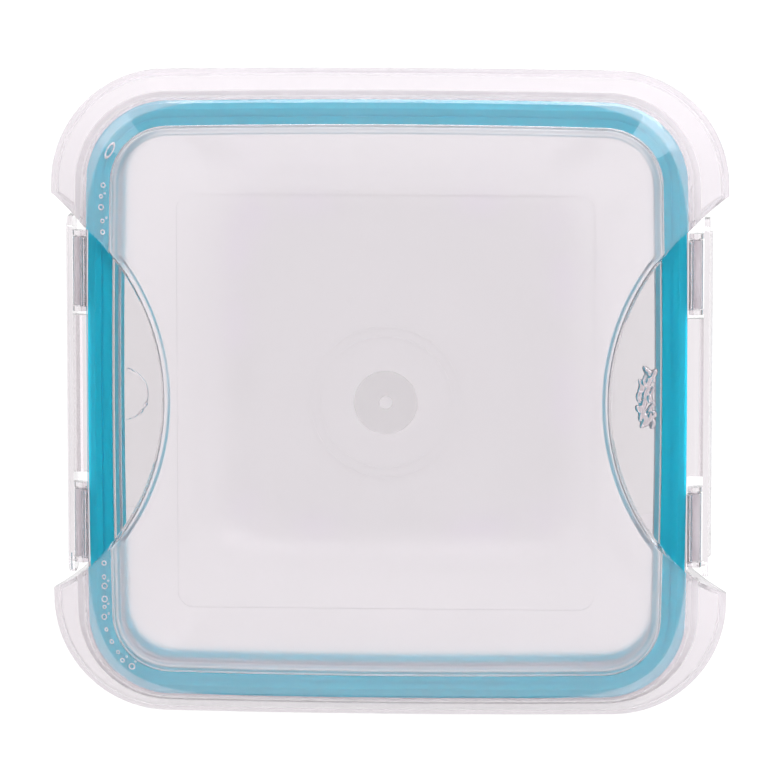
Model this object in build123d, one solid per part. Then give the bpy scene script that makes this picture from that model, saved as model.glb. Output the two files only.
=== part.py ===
from build123d import *
import math
import os

# Square glass food container with a clear lid that two side clips hold down.
# Millimetres, +Z up, origin at the middle of the bowl's foot, clips on the -X and +X sides.

# ---- overall sizes -------------------------------------------------------------------
LID_SPAN_X = 171.8  # clip side to clip side, as if the scoops were not cut
LID_SPAN_Y = 165.0  # across the skirt, front to back
LID_TOP = 71.0  # the lid's panel above the table
SIDE_BOW = 1.0  # how far the middle of each side stands out from its ends

# ---- lid shell -----------------------------------------------------------------------
PANEL_HALF = 69.1  # half width of the raised flat panel
PANEL_CORNER = 14.0  # corner radius at the panel's edge
LID_WALL = 1.5
STEP_DROP = 0.9  # riser from the shoulder up to the panel
STEP_SLOPE = 0.5
SHOULDER_FALL = 2.1  # drop across the shoulder to the top of the skirt
SHOULDER_REACH = 0.9  # shoulder beyond the gasket's outer edge
SKIRT_DEPTH = 15.6
RIM_BEAD_HEIGHT = 1.6
RIM_BEAD_REACH = 1.1
RIM_BEAD_ROUND = 0.5
PANEL_ROUND = 0.3
STEP_ROUND = 0.6
SKIRT_ROUND = 2.5
PLUG_WALL = 1.5
PLUG_DEPTH = 3.0  # plug wall below the top of the gasket

# ---- finger scoops -------------------------------------------------------------------
SCOOP_RADIUS = 58.5
SCOOP_NEAR = 56.4  # where the scoop's arc comes nearest to the middle of the lid
SCOOP_DEPTH = 3.0
SCOOP_DRAFT = 0.27  # how much the scoop's wall leans, width over height
GATE_PAD_RADIUS = 7.0
GATE_PAD_HEIGHT = 0.2
GATE_PAD_INSET = 0.9  # the pad's straight side from the inner face of the plug

# ---- marks on the panel --------------------------------------------------------------
RECESS_HALF = 52.3
RECESS_CORNER = 4.0
RECESS_DEPTH = 0.4
RING_RADII = (19.2, 16.8)
RING_WIDTH = 0.45
RING_HEIGHT = 0.25
DISC_RADIUS = 8.0
DISC_DEPTH = 0.25
GATE_RADIUS = 1.6
GATE_HEIGHT = 0.3

# ---- gasket --------------------------------------------------------------------------
GASKET_OUTER = 75.3
GASKET_INNER = 69.1  # at the gasket's top
GASKET_THICKNESS = 1.95
GASKET_BEVEL_WIDTH = 2.0
GASKET_BEVEL_DROP = 1.3
GASKET_ROUND = 0.5
LIP_THICKNESS = 1.6
LIP_DEPTH = 12.0
LIP_LEAN = 1.8  # inward from the gasket's top to the tip of its lip
LIP_TAPER = 0.6
RELIEF_HALF = 71.5  # a fine groove that lets the gasket's top flex
RELIEF_WIDTH = 0.5
RELIEF_DEPTH = 0.35
GASKET_FIT = 0.12  # between the gasket and the lid
RIM_FIT = 0.05  # between the gasket and the top of the glass
LIP_FIT = 0.3  # between the gasket's lip and the glass

# ---- glass bowl ----------------------------------------------------------------------
RIM_REACH = 3.5  # glass from its inner face to the outside of the bead
RIM_ROUND = 1.2
BEAD_ROUND = 0.8
NECK_ROUND = 12.0
BEAD_HEIGHT = 5.0
BEAD_OVERHANG = 2.0
NECK_HEIGHT = 8.0  # upright wall below the bead
NECK_DRAFT = 2.4  # narrowing of the inside over the rim and neck
BOWL_WALL = 4.0  # measured level, where the wall leans
BOWL_FLOOR = 4.6
FOOT_CORNER = 16.0
FOOT_ROUND = 9.0
FOOT_RING = 10.5  # from the wall's line at the table to the hollow under the foot
FOOT_HOLLOW = 0.7
STACK_FIT = 0.8  # the foot inside the recess of a lid below it

# ---- clips and their hinges ----------------------------------------------------------
HINGE_DROP = 7.8  # hinge axis below the panel
PIN_RADIUS = 1.0
PIN_FIT = 0.05
PIN_LENGTH = 3.2
LUG_WALL = 0.7
LUG_WEB = 1.3  # thickness of what hangs the lug from the lid
LUG_FIT = 0.25  # lug to gasket
LUG_LENGTH = 17.2
END_FIT = 0.3  # rib to lug, along the hinge
RIB_THICKNESS = 1.3
RIB_END_FIT = 1.1  # rib to the scoop's wall
CLIP_WALL = 1.5
CLIP_END_FIT = 1.05  # clip to the scoop's wall
CLIP_DEPTH = 13.0  # below the hinge axis
CLIP_TOP_DROP = 0.6
CLIP_FIT = 0.3  # clip wall to lug
CLIP_END_ROUND = 4.0
CLIP_EDGE_ROUND = 0.3
PULL_REACH = 0.7  # lower edge of the clip, turned outward for a fingertip
PULL_HEIGHT = 3.0
HOOK_HALF_LENGTH = 20.0
HOOK_THICKNESS = 1.6
HOOK_BITE = 1.3  # hook under the bead
HOOK_FIT = 0.25

TOUCH = 0.01  # two heights closer than this are the same


def scoop_reach(half):
    """How far a scoop reaches from the middle of its side, at one distance across the lid."""
    return math.sqrt(SCOOP_RADIUS**2 - (scoop_centre - half) ** 2)


# ---- what follows from them ----------------------------------------------------------
shoulder_top = LID_TOP - STEP_DROP
skirt_top = shoulder_top - SHOULDER_FALL
skirt_foot = skirt_top - SKIRT_DEPTH
shoulder_half = GASKET_OUTER + SHOULDER_REACH
scoop_floor = LID_TOP - SCOOP_DEPTH
scoop_centre = SCOOP_NEAR + SCOOP_RADIUS
gasket_top = scoop_floor - LID_WALL - GASKET_FIT
gasket_foot = gasket_top - GASKET_THICKNESS
rim_top = gasket_foot - RIM_FIT
lip_foot = gasket_foot - LIP_DEPTH
lip_tip = GASKET_INNER - LIP_LEAN
lip_outer = GASKET_INNER + LIP_THICKNESS
plug_outer = GASKET_INNER - GASKET_FIT
plug_foot = gasket_top - PLUG_DEPTH
plug_tip = plug_outer - LIP_LEAN * PLUG_DEPTH / (GASKET_THICKNESS + LIP_DEPTH)
pad_edge = plug_outer - PLUG_WALL - GATE_PAD_INSET
glass_inner = lip_outer + LIP_FIT
bead_outer = glass_inner + RIM_REACH
neck_outer = bead_outer - BEAD_OVERHANG
neck_inner = glass_inner - NECK_DRAFT
bead_foot = rim_top - BEAD_HEIGHT
bead_slope_foot = bead_foot - BEAD_OVERHANG / 2
neck_foot = bead_foot - NECK_HEIGHT
foot_half = RECESS_HALF - STACK_FIT
recess_floor = LID_TOP - RECESS_DEPTH
hinge_z = LID_TOP - HINGE_DROP
lug_radius = PIN_RADIUS + PIN_FIT + LUG_WALL
lug_near_x = GASKET_OUTER + LUG_FIT
hinge_x = lug_near_x + lug_radius
clip_inner = hinge_x + lug_radius + CLIP_FIT
clip_outer = clip_inner + CLIP_WALL
clip_top = hinge_z - CLIP_TOP_DROP
clip_foot = hinge_z - CLIP_DEPTH
hook_top = bead_slope_foot - HOOK_FIT
far_rib = scoop_reach(lug_near_x) - RIB_END_FIT - RIB_THICKNESS
lug_far = far_rib - END_FIT
lug_near = lug_far - LUG_LENGTH
near_rib = lug_near - END_FIT - RIB_THICKNESS
clip_half_length = scoop_reach(clip_inner) - CLIP_END_FIT


def rim_corner(half):
    """Corner radius of an outline that is an offset of the panel's outline."""
    return PANEL_CORNER + half - PANEL_HALF


def outline(half_x, half_y, corner, level):
    """A rounded square with gently bowed sides, as a face at one height."""
    end_x = half_x - SIDE_BOW
    end_y = half_y - SIDE_BOW
    back = ThreePointArc((-end_x, end_y), (0, half_y), (end_x, end_y))
    right = ThreePointArc((end_x, end_y), (half_x, 0), (end_x, -end_y))
    front = ThreePointArc((end_x, -end_y), (0, -half_y), (-end_x, -end_y))
    left = ThreePointArc((-end_x, -end_y), (-half_x, 0), (-end_x, end_y))
    face = make_face([back, right, front, left])
    return Pos(0, 0, level) * fillet(face.vertices(), corner)


def lid_stack(levels):
    """A closed solid through offsets of the panel's outline: (height, half x) or (height, half x, half y)."""
    outlines = []
    for level, half_x, *rest in levels:
        half_y = rest[0] if rest else half_x
        corner = rim_corner((half_x + half_y) / 2)
        outlines.append(outline(half_x, half_y, corner, level))
    return loft(outlines, ruled=True)


def bowl_stack(foot_level, foot, levels):
    """A closed solid from a foot with its own corner radius up through offsets of the panel's outline."""
    outlines = [outline(foot, foot, FOOT_CORNER, foot_level)]
    for level, half in levels:
        outlines.append(outline(half, half, rim_corner(half), level))
    return loft(outlines, ruled=True)


def round_level(solid, level, radius):
    """Rounds every edge of a solid that lies at one height."""
    edges = solid.edges().filter_by_position(Axis.Z, level - TOUCH, level + TOUCH)
    level_edges = [edge for edge in edges if edge.bounding_box().size.Z < TOUCH]
    return fillet(level_edges, radius)


def ring(half, width, bottom, top):
    """A thin upright ring that follows the panel's outline, centred on a half width."""
    outer = lid_stack([(bottom, half + width / 2), (top, half + width / 2)])
    return outer - lid_stack([(bottom, half - width / 2), (top, half - width / 2)])


def on_both_sides(solid):
    """A solid of the +X side together with its mirror image."""
    return solid + mirror(solid, Plane.YZ)


def along_hinge(section, start, end):
    """A section drawn with X outward and Y up, run along Y between two distances from the middle."""
    plane = Plane(origin=(0, start, 0), x_dir=(1, 0, 0), z_dir=(0, -1, 0))
    return extrude(plane * section, start - end)


def at_both_ends(section, start, end):
    """A section run along Y between two distances, on both ends of the hinge."""
    solid = along_hinge(section, start, end)
    return solid + mirror(solid, Plane.XZ)


def glass_bowl():
    outside = bowl_stack(
        0,
        foot_half,
        [
            (neck_foot, neck_outer),
            (bead_slope_foot, neck_outer),
            (bead_foot, bead_outer),
            (rim_top, bead_outer),
        ],
    )
    outside = round_level(outside, 0, FOOT_ROUND)
    outside = round_level(outside, neck_foot, NECK_ROUND)
    outside = round_level(outside, bead_slope_foot, BEAD_ROUND)
    outside = round_level(outside, bead_foot, BEAD_ROUND)
    outside = round_level(outside, rim_top, RIM_ROUND)
    lean = (neck_outer - foot_half) / neck_foot
    floor_half = foot_half + BOWL_FLOOR * lean - BOWL_WALL
    inside = bowl_stack(
        BOWL_FLOOR,
        floor_half,
        [
            (neck_foot, neck_inner),
            (rim_top - RIM_ROUND, glass_inner),
            (rim_top, glass_inner + RIM_ROUND),
        ],
    )
    inside = round_level(inside, BOWL_FLOOR, FOOT_ROUND)
    inside = round_level(inside, neck_foot, NECK_ROUND)
    hollow_half = foot_half - FOOT_RING
    hollow = extrude(outline(hollow_half, hollow_half, FOOT_CORNER, 0), FOOT_HOLLOW)
    hollow = round_level(hollow, FOOT_HOLLOW, FOOT_HOLLOW / 2)
    return outside - inside - hollow


def gasket():
    outer = lid_stack(
        [
            (gasket_foot, GASKET_OUTER),
            (gasket_top - GASKET_BEVEL_DROP, GASKET_OUTER),
            (gasket_top, GASKET_OUTER - GASKET_BEVEL_WIDTH),
        ]
    )
    outer = round_level(outer, gasket_top - GASKET_BEVEL_DROP, GASKET_ROUND)
    outer = round_level(outer, gasket_top, GASKET_ROUND)
    lip = lid_stack(
        [
            (lip_foot, lip_tip + LIP_THICKNESS - LIP_TAPER),
            (gasket_foot, lip_outer),
        ]
    )
    hole = lid_stack([(lip_foot, lip_tip), (gasket_top, GASKET_INNER)])
    relief = ring(RELIEF_HALF, RELIEF_WIDTH, gasket_top - RELIEF_DEPTH, gasket_top)
    return outer + lip - hole - relief


def scoop(margin, bottom):
    """What a finger scoop takes away: a leaning wall above a floor, and right through beyond the gasket."""
    radius = SCOOP_RADIUS + margin
    height = LID_TOP + LID_WALL - bottom
    cone = Cone(radius, radius + SCOOP_DRAFT * height, height, align=(Align.CENTER, Align.CENTER, Align.MIN))
    foot = skirt_foot - LID_WALL
    below = Pos(scoop_centre, 0, foot) * extrude(Circle(radius), bottom - foot)
    open_side = Box(LID_SPAN_X, LID_SPAN_Y, 4 * LID_TOP, align=(Align.MIN, Align.CENTER, Align.CENTER))
    return Pos(scoop_centre, 0, bottom) * cone + (below & Pos(GASKET_OUTER, 0, 0) * open_side)


def panel_marks(shell):
    """The stacking recess with its plain rings, centre disc and gate mark."""
    square = fillet(Rectangle(2 * RECESS_HALF, 2 * RECESS_HALF).vertices(), RECESS_CORNER)
    deep = Pos(0, 0, recess_floor) * extrude(square - Circle(DISC_RADIUS), RECESS_DEPTH)
    disc = Pos(0, 0, recess_floor - DISC_DEPTH) * Cylinder(
        DISC_RADIUS, RECESS_DEPTH + DISC_DEPTH, align=(Align.CENTER, Align.CENTER, Align.MIN)
    )
    shell = shell - deep - disc
    for radius in RING_RADII:
        ring = Circle(radius) - Circle(radius - RING_WIDTH)
        shell = shell + Pos(0, 0, recess_floor) * extrude(ring, RING_HEIGHT)
    gate = extrude(Circle(GATE_RADIUS), GATE_HEIGHT)
    return shell + Pos(0, 0, recess_floor - DISC_DEPTH) * gate


def hinge_lug():
    """The profile of a lid lug: an eye on the hinge axis, hung from the edge of the scoop's floor."""
    eye = Pos(hinge_x, hinge_z) * Circle(lug_radius)
    web = Rectangle(LUG_WEB, scoop_floor - hinge_z, align=(Align.MIN, Align.MIN))
    tie = Rectangle(2 * LUG_FIT, LID_WALL, align=(Align.MAX, Align.MAX))
    solid_part = eye + Pos(lug_near_x, hinge_z) * web + Pos(lug_near_x, scoop_floor) * tie
    return solid_part - Pos(hinge_x, hinge_z) * Circle(PIN_RADIUS + PIN_FIT)


def lid_shell():
    bead_half_x = LID_SPAN_X / 2
    bead_half_y = LID_SPAN_Y / 2
    skirt_half_x = bead_half_x - RIM_BEAD_REACH
    skirt_half_y = bead_half_y - RIM_BEAD_REACH
    bead_top = skirt_foot + RIM_BEAD_HEIGHT
    outside = lid_stack(
        [
            (skirt_foot, bead_half_x, bead_half_y),
            (bead_top, bead_half_x, bead_half_y),
            (bead_top + RIM_BEAD_REACH, skirt_half_x, skirt_half_y),
            (skirt_top, shoulder_half),
            (shoulder_top, PANEL_HALF + STEP_SLOPE),
            (LID_TOP, PANEL_HALF),
        ]
    )
    outside = round_level(outside, bead_top, RIM_BEAD_ROUND)
    outside = round_level(outside, skirt_top, SKIRT_ROUND)
    outside = round_level(outside, shoulder_top, STEP_ROUND)
    outside = round_level(outside - on_both_sides(scoop(0, scoop_floor)), LID_TOP, PANEL_ROUND)
    inside = lid_stack(
        [
            (skirt_foot, skirt_half_x - LID_WALL, skirt_half_y - LID_WALL),
            (bead_top + RIM_BEAD_REACH, skirt_half_x - LID_WALL, skirt_half_y - LID_WALL),
            (gasket_top + GASKET_FIT, GASKET_OUTER + GASKET_FIT),
        ]
    )
    under_panel = lid_stack(
        [
            (gasket_top, PANEL_HALF - LID_WALL),
            (LID_TOP - LID_WALL, PANEL_HALF - LID_WALL),
        ]
    )
    plug = lid_stack([(plug_foot, plug_tip), (gasket_top, plug_outer), (LID_TOP, plug_outer)])
    plug = plug - lid_stack(
        [
            (plug_foot, plug_tip - PLUG_WALL),
            (gasket_top, plug_outer - PLUG_WALL),
            (LID_TOP, plug_outer - PLUG_WALL),
        ]
    )
    hollow = inside + under_panel - on_both_sides(scoop(LID_WALL, gasket_top + GASKET_FIT))
    shell = outside - hollow + (plug & outside)
    lugs = on_both_sides(at_both_ends(hinge_lug(), lug_near, lug_far))
    half_plane = Rectangle(GATE_PAD_RADIUS, 2 * GATE_PAD_RADIUS, align=(Align.MAX, Align.CENTER))
    pad = Pos(pad_edge, 0, scoop_floor) * extrude(Circle(GATE_PAD_RADIUS) & half_plane, GATE_PAD_HEIGHT)
    return panel_marks(shell) + lugs + on_both_sides(pad)


def clip():
    """The +X clip: a leaning wall on ribs with stub pins, and a hook that goes under the bead."""
    wall_plane = Plane(origin=(clip_inner, 0, 0), x_dir=(0, 1, 0), z_dir=(1, 0, 0))
    height = clip_top - clip_foot
    face = Pos(0, clip_foot) * Rectangle(2 * clip_half_length, height, align=(Align.CENTER, Align.MIN))
    face = fillet(face.vertices(), CLIP_END_ROUND)
    wall = extrude(wall_plane * face, CLIP_WALL)
    wall = fillet(wall.faces().sort_by(Axis.X)[-1].edges(), CLIP_EDGE_ROUND)
    pull_section = make_face(
        Polyline(
            (clip_outer - CLIP_WALL / 2, clip_foot),
            (clip_outer + PULL_REACH, clip_foot),
            (clip_outer, clip_foot + PULL_HEIGHT),
            (clip_outer - CLIP_WALL / 2, clip_foot + PULL_HEIGHT),
            close=True,
        )
    )
    pull_half = clip_half_length - CLIP_END_ROUND
    pull = along_hinge(pull_section, -pull_half, pull_half)
    hook_tip = bead_outer - HOOK_BITE
    hook_section = make_face(
        Polyline(
            (clip_inner + CLIP_WALL / 2, hook_top),
            (hook_tip, hook_top),
            (hook_tip, hook_top - HOOK_THICKNESS / 2),
            (clip_inner, hook_top - 2 * HOOK_THICKNESS),
            (clip_inner + CLIP_WALL / 2, hook_top - 2 * HOOK_THICKNESS),
            close=True,
        )
    )
    hook = along_hinge(hook_section, -HOOK_HALF_LENGTH, HOOK_HALF_LENGTH)
    eye = Pos(hinge_x, hinge_z) * Circle(lug_radius)
    arm_length = clip_inner + CLIP_WALL / 2 - hinge_x
    arm = Rectangle(arm_length, lug_radius - CLIP_TOP_DROP, align=(Align.MIN, Align.MIN))
    rib = eye + Pos(hinge_x, hinge_z - lug_radius) * arm
    pin = Pos(hinge_x, hinge_z) * Circle(PIN_RADIUS)
    ribs = at_both_ends(rib, far_rib, far_rib + RIB_THICKNESS)
    ribs = ribs + at_both_ends(rib, near_rib, near_rib + RIB_THICKNESS)
    pins = at_both_ends(pin, far_rib - PIN_LENGTH, far_rib + RIB_THICKNESS)
    pins = pins + at_both_ends(pin, near_rib, near_rib + RIB_THICKNESS + PIN_LENGTH)
    return wall + pull + hook + ribs + pins


def main():
    os.makedirs("parts", exist_ok=True)
    right = clip()
    pieces = {
        "glass_bowl": glass_bowl(),
        "sealing_gasket": gasket(),
        "lid_shell": lid_shell(),
        "right_clip": right,
        "left_clip": mirror(right, Plane.YZ),
    }
    for name, piece in pieces.items():
        export_step(piece, f"parts/{name}.step")


main()
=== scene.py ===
import bpy
import bmesh
import math
import random
from mathutils import Matrix, Vector


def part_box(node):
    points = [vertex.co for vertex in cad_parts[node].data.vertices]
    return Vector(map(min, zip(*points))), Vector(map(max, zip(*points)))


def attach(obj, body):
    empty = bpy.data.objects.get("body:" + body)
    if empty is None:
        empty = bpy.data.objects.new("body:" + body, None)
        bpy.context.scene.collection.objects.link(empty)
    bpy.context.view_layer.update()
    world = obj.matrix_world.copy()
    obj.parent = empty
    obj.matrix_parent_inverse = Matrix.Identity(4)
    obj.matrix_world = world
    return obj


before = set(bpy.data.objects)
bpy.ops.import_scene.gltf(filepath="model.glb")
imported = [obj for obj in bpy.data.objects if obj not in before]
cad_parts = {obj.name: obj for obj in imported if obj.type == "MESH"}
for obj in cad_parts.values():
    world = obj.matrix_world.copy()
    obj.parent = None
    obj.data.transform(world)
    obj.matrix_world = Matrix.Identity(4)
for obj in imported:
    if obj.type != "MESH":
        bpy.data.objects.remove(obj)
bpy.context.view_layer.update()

MM = 0.001
PANEL_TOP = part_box("lid_shell")[1].z
MATT_DEPTH = 0.62 * MM  # the panel's matt skin covers everything this close to its top
SEAT_FIT = 0.12 * MM  # between the gasket's top and the lid's shoulder
SEAT_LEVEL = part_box("sealing_gasket")[1].z + SEAT_FIT
# A dull band runs round the lid just below that level. It is a choice of look: it hides a dark line
# of inner reflection.
SEAT_BAND_LOW = SEAT_LEVEL - 2.4 * MM
SEAT_BAND_HIGH = SEAT_LEVEL - 0.15 * MM
SCOOP_CENTRE = 114.9 * MM  # the finger scoops are arcs about a point this far out on each side
SCOOP_RADIUS = 58.5 * MM
SCOOP_MARGIN = 0.4 * MM  # the haze starts this far outside a scoop's edge
SKIRT_HALF = 75.6 * MM  # the skirt's milkier plastic starts this far out, on a line of sixth powers
GATE_X = 66.5 * MM  # the gate marks sit in the scoops, beside the gasket
GATE_ARC = 6.6 * MM
GATE_SHIFT = 1.4 * MM
GATE_FLOOR = PANEL_TOP - 2.8 * MM
BUBBLE_HALF = 70.9 * MM  # the line the bubbles follow, between the gasket's two edges
BUBBLE_CORNER = 15.8 * MM
BUBBLE_START = 42.0 * MM
BUBBLE_Z = PANEL_TOP - 3.0 * MM
LONG_BUBBLE_AT = 21 * MM  # how far along that line the one long bubble lies

LID_TINT = (0.77, 0.725, 0.75)
CLIP_TINT = (0.84, 0.80, 0.82)
PLASTIC_IOR = 1.49
GLASS_IOR = 1.5
SILICONE_IOR = 1.42
COOL_LIGHT = (0.94, 0.97, 1.0)
WARM_LIGHT = (1.0, 0.98, 0.95)

FLOOR_HALF = 2.5
SKY_STRENGTH = 2.95
SKY_LOW = (0.32, 0.30, 0.34)  # the colour of everything lower than SKY_LOW_END
SKY_LOW_END = 0.5
SKY_STEPS = ((0.60, 0.55), (0.70, 1.0), (0.93, 0.05))  # (place, grey), where 1 is straight overhead
CAMERA_DISTANCE = 1.5
SEEN_WIDTH = 0.195
CAMERA_AIM = Vector((1.1 * MM, 3.25 * MM, PANEL_TOP))
LEAN_RIGHT = math.radians(3)
LEAN_BACK = math.radians(8)
LIGHT_BOUNCES = 16


# ---- node helpers --------------------------------------------------------------------
class Shader:
    """A Principled material with short ways to add procedural nodes to it."""

    def __init__(self, name, color, roughness, ior=1.5, transmission=0.0):
        self.material = bpy.data.materials.new(name)
        self.material.use_nodes = True
        self.tree = self.material.node_tree
        self.principled = self.tree.nodes["Principled BSDF"]
        self.set("Base Color", (*color, 1.0))
        self.set("Roughness", roughness)
        self.set("IOR", ior)
        self.set("Transmission Weight", transmission)
        self.where = self.node("ShaderNodeTexCoord").outputs["Object"]

    def set(self, socket, value):
        """Gives a Principled input a fixed value."""
        self.principled.inputs[socket].default_value = value

    def drive(self, socket, source):
        """Gives a Principled input a value from a node."""
        self.link(source, self.principled.inputs[socket])

    def node(self, kind, **values):
        made = self.tree.nodes.new(kind)
        for key, value in values.items():
            setattr(made, key, value)
        return made

    def link(self, source, target):
        self.tree.links.new(source, target)

    def axes(self):
        """The X, Y and Z of the point being shaded."""
        split = self.node("ShaderNodeSeparateXYZ")
        self.link(self.where, split.inputs[0])
        return split.outputs

    def noise(self, size, detail):
        """Noise whose features are about size metres across, as a 0 to 1 value."""
        texture = self.node("ShaderNodeTexNoise")
        texture.inputs["Scale"].default_value = 1 / size
        texture.inputs["Detail"].default_value = detail
        self.link(self.where, texture.inputs["Vector"])
        return texture.outputs["Fac"]

    def patches(self, size, low, high, detail=2.0):
        """Soft patches about size metres across, whose value runs from low to high."""
        made = self.node("ShaderNodeMapRange")
        self.link(self.noise(size, detail), made.inputs["Value"])
        made.inputs["To Min"].default_value = low
        made.inputs["To Max"].default_value = high
        return made.outputs["Result"]

    def math(self, operation, *values):
        """One sum on numbers and sockets."""
        made = self.node("ShaderNodeMath", operation=operation)
        for place, value in enumerate(values):
            if isinstance(value, (int, float)):
                made.inputs[place].default_value = value
            else:
                self.link(value, made.inputs[place])
        return made.outputs[0]

    def add(self, first, *others):
        total = first
        for other in others:
            total = self.math("ADD", total, other)
        return total

    def times(self, first, second):
        return self.math("MULTIPLY", first, second)

    def step(self, value, edge, width):
        """0 below an edge and 1 above it, with a soft change between."""
        made = self.node("ShaderNodeMapRange", interpolation_type="SMOOTHSTEP")
        self.link(value, made.inputs["Value"])
        made.inputs["From Min"].default_value = edge - width / 2
        made.inputs["From Max"].default_value = edge + width / 2
        return made.outputs["Result"]

    def bump(self, height, distance, strength, below=None):
        """Bumps up to distance high, added to those of an earlier bump if one is given."""
        made = self.node("ShaderNodeBump")
        made.inputs["Distance"].default_value = distance
        made.inputs["Strength"].default_value = strength
        self.link(height, made.inputs["Height"])
        if below is not None:
            self.link(below, made.inputs["Normal"])
        self.drive("Normal", made.outputs["Normal"])
        return made.outputs["Normal"]


# ---- materials -----------------------------------------------------------------------
def outside_scoops(shader, x, y):
    """1 on the lid, and 0 in both finger scoops."""
    across = shader.math("SUBTRACT", SCOOP_CENTRE, shader.math("ABSOLUTE", x))
    squares = shader.add(shader.math("POWER", across, 2.0), shader.math("POWER", y, 2.0))
    from_centre = shader.math("SQRT", squares)
    return shader.step(from_centre, SCOOP_RADIUS + SCOOP_MARGIN, 0.3 * MM)


def on_skirt(shader, x, y):
    """1 outside a square with round corners, and 0 inside it."""
    powers = [shader.math("POWER", shader.math("DIVIDE", axis, SKIRT_HALF), 6.0) for axis in (x, y)]
    return shader.step(shader.add(*powers), 1.0, 0.06)


def in_seat_band(shader, z):
    """1 in the dull band below the gasket's seat, and 0 above and below it."""
    above_low = shader.step(z, SEAT_BAND_LOW, 0.5 * MM)
    above_high = shader.step(z, SEAT_BAND_HIGH, 0.1 * MM)
    return shader.times(above_low, shader.math("SUBTRACT", 1.0, above_high))


def lid_plastic():
    """Faintly hazy clear plastic: clearest in the finger scoops, matt on the raised panel."""
    shader = Shader("lid_plastic", LID_TINT, 0.03, PLASTIC_IOR, transmission=1.0)
    x, y, z = shader.axes()
    matt = shader.step(z, PANEL_TOP - MATT_DEPTH, 0.05 * MM)
    skirt = on_skirt(shader, x, y)
    haze = shader.times(outside_scoops(shader, x, y), shader.patches(22 * MM, 0.035, 0.065))
    milk = shader.times(skirt, shader.patches(15 * MM, 0.08, 0.14, detail=1.0))
    veil = shader.add(haze, milk, shader.times(matt, 0.07))
    shader.drive("Transmission Weight", shader.math("SUBTRACT", 1.0, veil))
    gloss = shader.patches(30 * MM, 0.015, 0.04)
    skin = shader.times(matt, shader.patches(9 * MM, 0.24, 0.30))
    dull_seat = shader.times(in_seat_band(shader, z), 0.4)
    shader.drive("Roughness", shader.add(gloss, skin, dull_seat, shader.times(skirt, 0.08)))
    wave = shader.bump(shader.noise(30 * MM, detail=0.0), 0.03 * MM, 0.5)
    grain = shader.times(matt, shader.noise(0.35 * MM, detail=2.0))
    shader.bump(grain, 0.012 * MM, 0.6, below=wave)
    return shader.material


def clip_plastic():
    """The same clear plastic, glossy all over."""
    shader = Shader("clip_plastic", CLIP_TINT, 0.03, PLASTIC_IOR, transmission=1.0)
    shader.drive("Roughness", shader.patches(12 * MM, 0.015, 0.05))
    shader.bump(shader.noise(14 * MM, detail=1.0), 0.03 * MM, 0.6)
    return shader.material


def bowl_glass():
    """Pressed glass: clear, with the soft waves that a mould leaves."""
    shader = Shader("bowl_glass", (0.985, 0.995, 0.99), 0.0, GLASS_IOR, transmission=1.0)
    shader.drive("Roughness", shader.patches(40 * MM, 0.0, 0.02))
    shader.bump(shader.noise(32 * MM, detail=1.0), 0.15 * MM, 0.7)
    return shader.material


def teal_silicone():
    """Satin silicone rubber, with faint cloudiness and a fine moulded grain."""
    shader = Shader("teal_silicone", (0.0, 0.69, 0.89), 0.36, SILICONE_IOR)
    shader.set("Subsurface Weight", 0.15)
    shader.set("Subsurface Radius", (0.2 * MM, 0.8 * MM, 1.0 * MM))
    shader.set("Subsurface Scale", 1.0)
    mix = shader.node("ShaderNodeMix", data_type="RGBA")
    mix.inputs["A"].default_value = (0.0, 0.65, 0.84, 1.0)
    mix.inputs["B"].default_value = (0.0, 0.73, 0.93, 1.0)
    shader.link(shader.noise(18 * MM, detail=2.0), mix.inputs["Factor"])
    shader.drive("Base Color", mix.outputs["Result"])
    shader.drive("Roughness", shader.patches(3 * MM, 0.30, 0.44, detail=3.0))
    shader.bump(shader.noise(0.5 * MM, detail=3.0), 0.01 * MM, 0.5)
    return shader.material


def bubble_rim_highlight():
    """Painted highlight: a near-white, partly clear skin standing in for the bright outline that
    internal reflection gives an air bubble inside clear plastic.
    """
    shader = Shader("bubble_rim_highlight", (0.97, 0.985, 1.0), 0.25, ior=1.3, transmission=0.25)
    shader.drive("Roughness", shader.patches(0.6 * MM, 0.15, 0.4, detail=3.0))
    return shader.material


def paint(node, material):
    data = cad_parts[node].data
    data.materials.clear()
    data.materials.append(material)


def dress():
    paint("lid_shell", lid_plastic())
    clips = clip_plastic()
    gate_lumps(clips)
    bubble_highlight_rings()
    paint("left_clip", clips)
    paint("right_clip", clips)
    paint("glass_bowl", bowl_glass())
    paint("sealing_gasket", teal_silicone())


# ---- small marks in the lid's plastic --------------------------------------------------
def add_mark(name, mesh, material, body):
    """A finished bmesh as one smooth piece that rides on a body."""
    for face in mesh.faces:
        face.smooth = True
    data = bpy.data.meshes.new(name)
    mesh.to_mesh(data)
    mesh.free()
    data.materials.append(material)
    made = bpy.data.objects.new(name, data)
    bpy.context.scene.collection.objects.link(made)
    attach(made, body)
    return made


def placed(centre, turn):
    """The matrix that turns about Z and then moves to a centre."""
    return Matrix.Translation(centre) @ Matrix.Rotation(turn, 4, "Z")


def hoop(mesh, centre, half_length, half_width, turn):
    """Adds one thin closed ring, longer than it is wide, to a bmesh."""
    steps, sides = 28, 8
    thick = min(0.15 * MM, 0.4 * half_width)
    matrix = placed(centre, turn)
    loops = []
    for step in range(steps):
        angle = 2 * math.pi * step / steps
        loop = []
        for side in range(sides):
            lean = 2 * math.pi * side / sides
            out = 1 + thick * math.cos(lean) / half_width
            x = half_length * math.cos(angle) * out
            y = half_width * math.sin(angle) * out
            loop.append(mesh.verts.new(matrix @ Vector((x, y, thick * math.sin(lean)))))
        loops.append(loop)
    for step in range(steps):
        here, there = loops[step], loops[(step + 1) % steps]
        for side in range(sides):
            beyond = (side + 1) % sides
            mesh.faces.new((here[side], there[side], there[beyond], here[beyond]))


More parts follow.
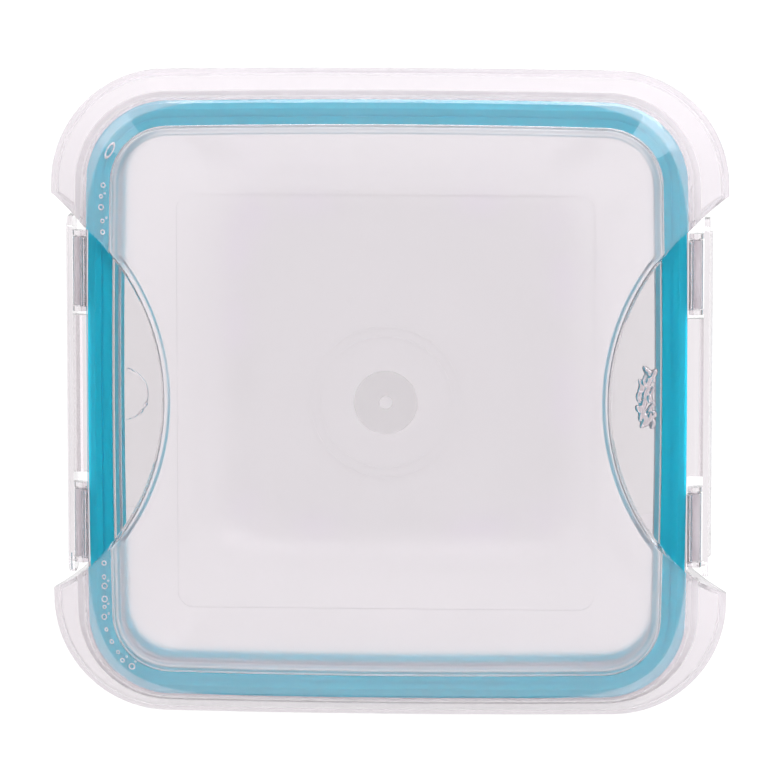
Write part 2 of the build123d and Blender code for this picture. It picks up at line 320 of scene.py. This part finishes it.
def melted(name, balls, material, body, voxel):
    """Balls melted together as one piece on a body: (centre, radii, turn about Z)."""
    mesh = bmesh.new()
    for centre, radii, turn in balls:
        matrix = placed(centre, turn) @ Matrix.Diagonal((*radii, 1.0))
        bmesh.ops.create_icosphere(mesh, subdivisions=3, radius=1.0, matrix=matrix)
    made = add_mark(name, mesh, material, body)
    melt = made.modifiers.new("melt", "REMESH")
    melt.mode = "VOXEL"
    melt.voxel_size = voxel
    melt.use_smooth_shade = True
    relax = made.modifiers.new("relax", "SMOOTH")
    relax.factor = 0.6
    relax.iterations = 4


def corner_path(distance, side):
    """A point and heading on the gasket's middle line, from beside the left scoop round a corner."""
    to_corner = BUBBLE_HALF - BUBBLE_CORNER
    straight = to_corner - BUBBLE_START
    if distance < straight:
        return Vector((-BUBBLE_HALF, side * (BUBBLE_START + distance), BUBBLE_Z)), math.pi / 2
    angle = (distance - straight) / BUBBLE_CORNER
    x = -to_corner - BUBBLE_CORNER * math.cos(angle)
    y = to_corner + BUBBLE_CORNER * math.sin(angle)
    return Vector((x, side * y, BUBBLE_Z)), side * (math.pi / 2 - angle)


def bubble_highlight_rings():
    """Rows of tiny air bubbles that the moulding left in the shoulder, at both left corners, drawn as
    thin near-white rings that paint the bright outlines internal reflection gives them.
    """
    rng = random.Random(11)
    mesh = bmesh.new()
    for side, length in ((1, 14 * MM), (-1, 31 * MM)):
        distance = 0.0
        while distance < length:
            centre, heading = corner_path(distance, side)
            radius = rng.uniform(0.38, 0.72) * MM
            centre += Vector((rng.uniform(-0.35, 0.35), rng.uniform(-0.3, 0.3), 0)) * MM
            hoop(mesh, centre, radius, rng.uniform(0.85, 1.0) * radius, heading)
            if rng.random() < 0.4:
                beside = centre + Vector((rng.uniform(0.9, 1.3), rng.uniform(0.8, 1.4), 0)) * MM
                hoop(mesh, beside, 0.22 * MM, 0.22 * MM, 0.0)
            distance += rng.uniform(2.2, 3.5) * MM
    centre, heading = corner_path(LONG_BUBBLE_AT, 1)
    hoop(mesh, centre, 1.95 * MM, 0.75 * MM, heading)
    add_mark("bubble_highlight_rings", mesh, bubble_rim_highlight(), "lid")


def gate_lumps(plastic):
    """Where the moulding gates were cut: a thin ragged arc on the left, a melted lump on the right."""
    rng = random.Random(4)
    arc = []
    beads = 64
    for bead in range(beads):
        angle = math.radians(-78 + 156 * bead / (beads - 1))
        radius = rng.uniform(0.17, 0.27) * MM
        if 12 < bead < 26 and rng.random() < 0.5:
            radius *= rng.uniform(1.5, 2.6)
        spot = Vector((GATE_ARC * math.cos(angle) - GATE_X, GATE_ARC * math.sin(angle), 0))
        centre = spot + Vector((0, GATE_SHIFT, GATE_FLOOR))
        arc.append((centre, (radius, radius, radius), 0.0))
    melted("left_gate_mark", arc, plastic, "lid", 0.1 * MM)
    lump = []
    for _ in range(46):
        along = rng.uniform(-1.0, 1.0)
        reach = rng.uniform(0.1, 1.0) * math.sqrt(1.0 - 0.9 * along**2) * 0.68 * GATE_ARC
        centre = Vector((GATE_X + 0.8 * MM - reach, along * 1.1 * GATE_ARC + GATE_SHIFT, GATE_FLOOR))
        size = rng.uniform(0.45, 0.95) * MM
        radii = (size, rng.uniform(1.2, 2.4) * size, 0.6 * size)
        lump.append((centre, radii, rng.uniform(-0.7, 0.7)))
    melted("right_gate_mark", lump, plastic, "lid", 0.14 * MM)


# ---- studio --------------------------------------------------------------------------
def paper_floor():
    """A pale sheet that glows a little, so that shadows on it stay faint."""
    data = bpy.data.meshes.new("floor")
    corners = [(x * FLOOR_HALF, y * FLOOR_HALF, 0) for x, y in ((-1, -1), (1, -1), (1, 1), (-1, 1))]
    data.from_pydata(corners, [], [(0, 1, 2, 3)])
    floor = bpy.data.objects.new("floor", data)
    bpy.context.scene.collection.objects.link(floor)
    shader = Shader("paper", (0.12, 0.12, 0.12), 0.9)
    shader.set("Emission Color", (1, 1, 1, 1))
    shader.set("Emission Strength", 0.9)
    data.materials.append(shader.material)


def sky():
    """A bright room with a dark ceiling, so that level faces stay free of glare."""
    world = bpy.data.worlds.new("studio")
    world.use_nodes = True
    tree = world.node_tree
    where = tree.nodes.new("ShaderNodeTexCoord")
    split = tree.nodes.new("ShaderNodeSeparateXYZ")
    ramp = tree.nodes.new("ShaderNodeValToRGB")
    stops = ramp.color_ramp.elements
    for place, grey in SKY_STEPS:
        stops.new(place).color = (grey, grey, grey, 1.0)
    stops[0].position = SKY_LOW_END
    stops[0].color = (*SKY_LOW, 1.0)
    stops.remove(stops[-1])
    background = tree.nodes["Background"]
    tree.links.new(where.outputs["Generated"], split.inputs[0])
    tree.links.new(split.outputs["Z"], ramp.inputs["Fac"])
    tree.links.new(ramp.outputs["Color"], background.inputs["Color"])
    background.inputs["Strength"].default_value = SKY_STRENGTH
    bpy.context.scene.world = world


def softbox(name, where, size, power, tint):
    """A rectangular lamp, turned to face the lid."""
    data = bpy.data.lights.new(name, "AREA")
    data.shape = "RECTANGLE"
    data.size, data.size_y = size
    data.energy = power
    data.color = tint
    lamp = bpy.data.objects.new(name, data)
    lamp.location = where
    aim = Vector((0, 0, 0.05))
    lamp.rotation_euler = (aim - Vector(where)).to_track_quat("-Z", "Y").to_euler()
    bpy.context.scene.collection.objects.link(lamp)


def camera():
    """Looks down from high above, leaning a little towards the back and the right."""
    away = Vector((math.sin(LEAN_RIGHT), math.sin(LEAN_BACK), 0))
    away.z = math.sqrt(1 - away.x**2 - away.y**2)
    up = (Vector((0, 1, 0)) - away * away.y).normalized()
    right = up.cross(away)
    data = bpy.data.cameras.new("camera")
    data.lens = data.sensor_width * CAMERA_DISTANCE / SEEN_WIDTH
    data.clip_end = 20.0
    made = bpy.data.objects.new("camera", data)
    turned = Matrix((right, up, away)).transposed().to_4x4()
    made.matrix_world = Matrix.Translation(CAMERA_AIM + away * CAMERA_DISTANCE) @ turned
    bpy.context.scene.collection.objects.link(made)
    bpy.context.scene.camera = made


dress()
paper_floor()
sky()
softbox("back_softbox", (0.35, 1.0, 0.95), (1.2, 0.8), 21, COOL_LIGHT)
softbox("right_softbox", (0.62, 0.5, 1.15), (0.45, 0.45), 3.0, COOL_LIGHT)
softbox("left_softbox", (-0.7, 0.45, 1.15), (0.4, 0.5), 1.8, WARM_LIGHT)
camera()
scene = bpy.context.scene
scene.view_settings.view_transform = "Standard"
scene.cycles.max_bounces = LIGHT_BOUNCES
scene.cycles.transmission_bounces = LIGHT_BOUNCES
